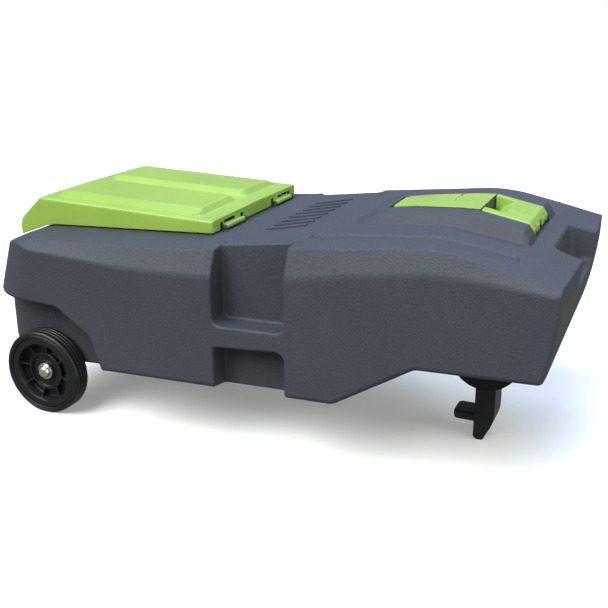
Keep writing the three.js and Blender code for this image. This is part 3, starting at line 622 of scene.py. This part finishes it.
def fillet(points, segments=5):
    """A closed outline whose (x, y, r) corners are turned with radius about r."""
    path = []
    count = len(points)
    for i, (x, y, r) in enumerate(points):
        corner = np.array([x, y], float)
        if not r:
            path.append(corner)
            continue
        toward = [np.array(points[j % count][:2], float) - corner for j in (i - 1, i + 1)]
        start, end = (corner + t / np.linalg.norm(t) * min(r, np.linalg.norm(t) / 2) for t in toward)
        for t in np.linspace(0, 1, segments):
            path.append((1 - t) ** 2 * start + 2 * t * (1 - t) * corner + t**2 * end)
    return path


def turned(name, profile, at, count, side):
    """A round piece from a closed (radius, distance) outline about the axle's line through at."""
    outline = np.array(fillet(profile))
    around = np.linspace(0, 2 * np.pi, count, endpoint=False)
    radius, distance = outline[:, 0][None, :], outline[:, 1][None, :]
    points = np.zeros((count, len(outline), 3))
    points[..., 0] = at[0] + radius * np.cos(around)[:, None]
    points[..., 1] = at[1] + side * distance
    points[..., 2] = at[2] + radius * np.sin(around)[:, None]
    index = np.arange(count * len(outline)).reshape(count, -1)
    quads = np.stack([index, np.roll(index, -1, 1), np.roll(np.roll(index, -1, 1), -1, 0),
                      np.roll(index, -1, 0)], axis=-1).reshape(-1, 4)
    vertices = points.reshape(-1, 3) * MM
    vertices[:, 0] += REAR_X
    obj = mesh_from(name, vertices, quads)
    shape = bmesh.new()
    shape.from_mesh(obj.data)
    bmesh.ops.remove_doubles(shape, verts=shape.verts, dist=1e-6)
    bmesh.ops.recalc_face_normals(shape, faces=shape.faces)
    shape.to_mesh(obj.data)
    shape.free()
    obj.data.shade_smooth()
    return obj


def tyre_outline():
    """Round shoulders, three tread grooves and a raised bead next to the rim."""
    r = WHEEL_R
    sole = []
    bottom = r - GROOVE_DEPTH
    for h in GROOVES:
        sole += [(r, h - 2.4, 0.5), (bottom, h - 1, 0.4), (bottom, h + 1, 0.4), (r, h + 2.4, 0.5)]
    return [(87.3, -20.5, 1), (88.5, -22, 1), (93, -22.5, 2), (r, -20, 6), *sole, (r, 20, 6),
            (93.5, 22.5, 2), (92.5, 21.2, 0.6), (91.5, 22.3, 0.6), (88, 22, 1), (87.3, 20.5, 1)]


# ---------------------------------------------------------------- pieces

# The box that each piece's field is sampled in; it only has to hold the whole piece.
TANK_BOX = ((-9, 0, 108), (1321, 328, 545))
BARS_BOX = ((642, -160, 448), (742, 170, 488))
LID_BOX = ((30, 0, 376), (576, 222, 522))
COVER_BOX = ((900, -84, 498), (1104, 84, 542))
HANDLE_BOX = ((1098, 0, 486), (1213, 84, 542))
LEG_BOX = ((1050, 0, -4), (1156, 40, 192))
made = []


def settle_in(piece, body, slot, *nodes):
    """A piece that rides on a body, stands for CAD nodes and takes its finish from a slot."""
    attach(piece, body)
    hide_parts(*nodes)
    made.append((piece, slot, nodes))


tank_shell = moulded("tank_shell", tank_field, *TANK_BOX, step=2.2, keep=0.12, mirror=True)
settle_in(tank_shell, "tank", "tank_plastic", "tank_body")
bars = moulded("tread_bars", tread_bars, *BARS_BOX, step=1.3, keep=0.3)
settle_in(bars, "tank", "tank_plastic", "tank_body")
lid_shell = moulded("lid_shell", lid_field, *LID_BOX, step=2, keep=0.25, mirror=True)
settle_in(lid_shell, "lid", "green_plastic", "storage_lid")
cover_plate = moulded("cover_plate", cover_field, *COVER_BOX, step=0.9, keep=0.22)
settle_in(cover_plate, "cover", "green_plastic", "port_cover")
handle_grip = moulded("handle_grip", handle_field, *HANDLE_BOX, step=0.9, keep=0.22, mirror=True)
settle_in(handle_grip, "handle", "green_plastic", "pull_handle")
stand_post = moulded("stand_post", leg_field, *LEG_BOX, step=1.5, keep=0.4, mirror=True)
settle_in(stand_post, "stand", "black_plastic", "stand_leg")


def settle_wheel(name, side):
    """The hub, tyre, nut and washer at one end of the axle."""
    middle = (WHEEL_S, side * WHEEL_Y, WHEEL_R)
    reach = sorted((side * (WHEEL_Y - 23), side * (WHEEL_Y + 23)))
    low = (WHEEL_S - 90, reach[0], WHEEL_R - 90)
    high = (WHEEL_S + 90, reach[1], WHEEL_R + 90)
    hub = moulded(f"hub_dish_{name}", hub_field(side), low, high, step=1.25, keep=0.3)
    settle_in(hub, f"wheel_{name}", "black_plastic", f"wheel_hub_{name}")
    tyre = turned(f"tyre_band_{name}", tyre_outline(), middle, 144, side)
    settle_in(tyre, f"wheel_{name}", "tyre_rubber", f"tyre_{name}")
    nut = turned(f"nut_dome_{name}", DOME, middle, 64, side)
    settle_in(nut, "tank", "zinc_steel", f"cap_nut_{name}")
    flange = turned(f"nut_flange_{name}", WASHER, middle, 64, side)
    settle_in(flange, "tank", "zinc_steel", f"outer_washer_{name}")


settle_wheel("left", 1)
settle_wheel("right", -1)

# ---------------------------------------------------------------- materials


def nodes_of(name):
    """A new material, its node tree and its shader."""
    material = bpy.data.materials.new(name)
    material.use_nodes = True
    tree = material.node_tree
    return material, tree, tree.nodes["Principled BSDF"]


def noise(tree, scale, detail):
    """Noise that stays fixed to the object; scale is in features a metre."""
    where = tree.nodes.new("ShaderNodeTexCoord")
    node = tree.nodes.new("ShaderNodeTexNoise")
    node.inputs["Scale"].default_value = scale
    node.inputs["Detail"].default_value = detail
    tree.links.new(where.outputs["Object"], node.inputs["Vector"])
    return node


def spread(tree, source, low, high, start=0.3, end=0.7):
    """A noise's range from start to end mapped on to low..high."""
    node = tree.nodes.new("ShaderNodeMapRange")
    for socket, value in (("From Min", start), ("From Max", end), ("To Min", low), ("To Max", high)):
        node.inputs[socket].default_value = value
    tree.links.new(source.outputs["Fac"], node.inputs["Value"])
    return node.outputs["Result"]


def grained_plastic(name, color, roughness, grain, depth, specular=0.5, speckle=0.12, mottle=0.05):
    """Moulded plastic: pebbled grain, fine speckle, faint broad mottling and uneven gloss."""
    material, tree, shader = nodes_of(name)
    new, link = tree.nodes.new, tree.links.new
    broad = noise(tree, 7, 5)
    fine = noise(tree, grain * 0.75, 3)
    pebble = noise(tree, grain, 2)
    shade = new("ShaderNodeMath")
    shade.operation = "MULTIPLY"
    link(spread(tree, broad, 1 - mottle, 1 + mottle), shade.inputs[0])
    link(spread(tree, fine, 1 - speckle, 1 + speckle), shade.inputs[1])
    tint = new("ShaderNodeVectorMath")
    tint.operation = "SCALE"
    tint.inputs[0].default_value = color
    link(shade.outputs["Value"], tint.inputs["Scale"])
    link(tint.outputs["Vector"], shader.inputs["Base Color"])
    bump = new("ShaderNodeBump")
    bump.inputs["Strength"].default_value = 0.7
    bump.inputs["Distance"].default_value = depth
    link(pebble.outputs["Fac"], bump.inputs["Height"])
    link(bump.outputs["Normal"], shader.inputs["Normal"])
    link(spread(tree, broad, roughness - 0.05, roughness + 0.05), shader.inputs["Roughness"])
    shader.inputs["Specular IOR Level"].default_value = specular
    return material


def metal(name, color, roughness, patches):
    """Plated metal with slightly uneven gloss."""
    material, tree, shader = nodes_of(name)
    gloss = spread(tree, noise(tree, patches, 5), roughness - 0.03, roughness + 0.06, 0, 1)
    tree.links.new(gloss, shader.inputs["Roughness"])
    shader.inputs["Base Color"].default_value = (*color, 1)
    shader.inputs["Metallic"].default_value = 1
    return material


def clear_plastic(name):
    """A clear, glossy lens."""
    material, _, shader = nodes_of(name)
    shader.inputs["Base Color"].default_value = (0.95, 0.98, 0.98, 1)
    shader.inputs["Roughness"].default_value = 0.05
    shader.inputs["Transmission Weight"].default_value = 1
    shader.inputs["IOR"].default_value = 1.49
    return material


# For each slot of the record: colour, roughness, grain and depth of grain.
SLOT_LOOKS = {
    "tank_plastic": grained_plastic(
        "tank_grey", (0.047, 0.051, 0.062), 0.55, 330, 0.0012, specular=0.3, speckle=0.14
    ),
    "green_plastic": grained_plastic(
        "lime_green", (0.27, 0.425, 0.068), 0.34, 260, 0.00025, speckle=0.03
    ),
    "black_plastic": grained_plastic(
        "black_plastic", (0.008, 0.0095, 0.009), 0.36, 350, 0.0003, specular=0.4
    ),
    "tyre_rubber": grained_plastic("tyre_rubber", (0.006, 0.006, 0.0065), 0.4, 500, 0.0003),
    "seal_rubber": grained_plastic("seal_rubber", (0.02, 0.02, 0.02), 0.7, 400, 0.0003),
    "black_steel": grained_plastic(
        "black_steel", (0.008, 0.008, 0.009), 0.38, 900, 0.0001, specular=0.3
    ),
    "zinc_steel": metal("zinc_plate", (0.74, 0.78, 0.70), 0.25, 120),
    "clear_plastic": clear_plastic("clear_lens"),
}
EDGE_WIDTH = 0.0005


def dress(obj, material):
    """One material on the whole object."""
    obj.data.materials.clear()
    obj.data.materials.append(material)


def soften(obj):
    """Broken edges on a CAD node that is shown as it is; its own vertices aren't changed."""
    bevel = obj.modifiers.new("edges", "BEVEL")
    bevel.width = EDGE_WIDTH
    bevel.segments = 2
    bevel.limit_method = "ANGLE"
    bevel.angle_limit = math.radians(32)
    bevel.harden_normals = True


replaced = {node for _, _, nodes in made for node in nodes}
for piece, slot, _ in made:
    dress(piece, SLOT_LOOKS[slot])
for entry in frame["record"]["subparts"]:
    node = frame["nodes"][entry["node"]]
    dress(node, SLOT_LOOKS[entry["material_slot"]])
    if entry["node"] not in replaced:
        soften(node)

# ---------------------------------------------------------------- floor, light and camera


def glowing(name, color, roughness, glow):
    """A matt material that also gives off some white light of its own."""
    material, _, shader = nodes_of(name)
    shader.inputs["Base Color"].default_value = (*color, 1)
    shader.inputs["Roughness"].default_value = roughness
    shader.inputs["Emission Color"].default_value = (1, 1, 1, 1)
    shader.inputs["Emission Strength"].default_value = glow
    return material


def set_out(obj, name, material):
    """A stage object that is seen but throws no light back on the tank."""
    obj.name = name
    dress(obj, material)
    obj.visible_diffuse = False
    obj.visible_glossy = False


FLOOR_SIZE = 4000
BACKDROP_RADIUS = 40

bpy.ops.mesh.primitive_plane_add(size=FLOOR_SIZE, location=(0, 0, 0))
set_out(bpy.context.object, "floor", glowing("pale_floor", (0.9, 0.9, 0.88), 0.8, 0.2))
bpy.ops.mesh.primitive_uv_sphere_add(segments=48, ring_count=24, radius=BACKDROP_RADIUS)
backdrop = bpy.context.object
set_out(backdrop, "backdrop", glowing("white_backdrop", (0, 0, 0), 1, 1))
backdrop.visible_transmission = False
backdrop.visible_shadow = False


def softbox(name, source, energy, angle, color):
    """A distant light, angle degrees wide, that shines from the direction of source."""
    data = bpy.data.lights.new(name, "SUN")
    data.energy = energy
    data.angle = math.radians(angle)
    data.color = color
    obj = bpy.data.objects.new(name, data)
    obj.rotation_euler = Vector(source).to_track_quat("Z", "Y").to_euler()
    bpy.context.scene.collection.objects.link(obj)


softbox("key_light", (-0.35, -0.75, 1), 4.5, 50, (0.97, 0.98, 1.0))
softbox("overhead_light", (0, 0, 1), 0.9, 60, (0.2, 0.35, 1.0))
softbox("back_light", (-0.1, 0.7, 1), 1.5, 45, (0.5, 0.65, 1.0))
softbox("end_light", (1, -0.15, 0.3), 1.8, 60, (0.9, 1.0, 0.8))

world = bpy.data.worlds.new("studio")
bpy.context.scene.world = world
world.use_nodes = True
background = world.node_tree.nodes["Background"]
background.inputs["Color"].default_value = (1, 1, 1, 1)
background.inputs["Strength"].default_value = 0.27

CAMERA_AT = Vector((0.8170, -1.8201, 0.9435))
CAMERA_AZIMUTH = math.radians(23.638)
CAMERA_ELEVATION = math.radians(19.272)
FOCAL = 52.48
SENSOR = 36

camera_data = bpy.data.cameras.new("camera")
camera_data.sensor_width = SENSOR
camera_data.lens = FOCAL
camera = bpy.data.objects.new("camera", camera_data)
bpy.context.scene.collection.objects.link(camera)
bpy.context.scene.camera = camera
level = math.cos(CAMERA_ELEVATION)
back = Vector((math.sin(CAMERA_AZIMUTH) * level, -math.cos(CAMERA_AZIMUTH) * level,
               math.sin(CAMERA_ELEVATION)))
right = Vector((math.cos(CAMERA_AZIMUTH), math.sin(CAMERA_AZIMUTH), 0))
turn = Matrix((right, back.cross(right), back)).transposed().to_4x4()
camera.matrix_world = Matrix.Translation(CAMERA_AT) @ turn

bpy.context.scene.view_settings.view_transform = "Standard"
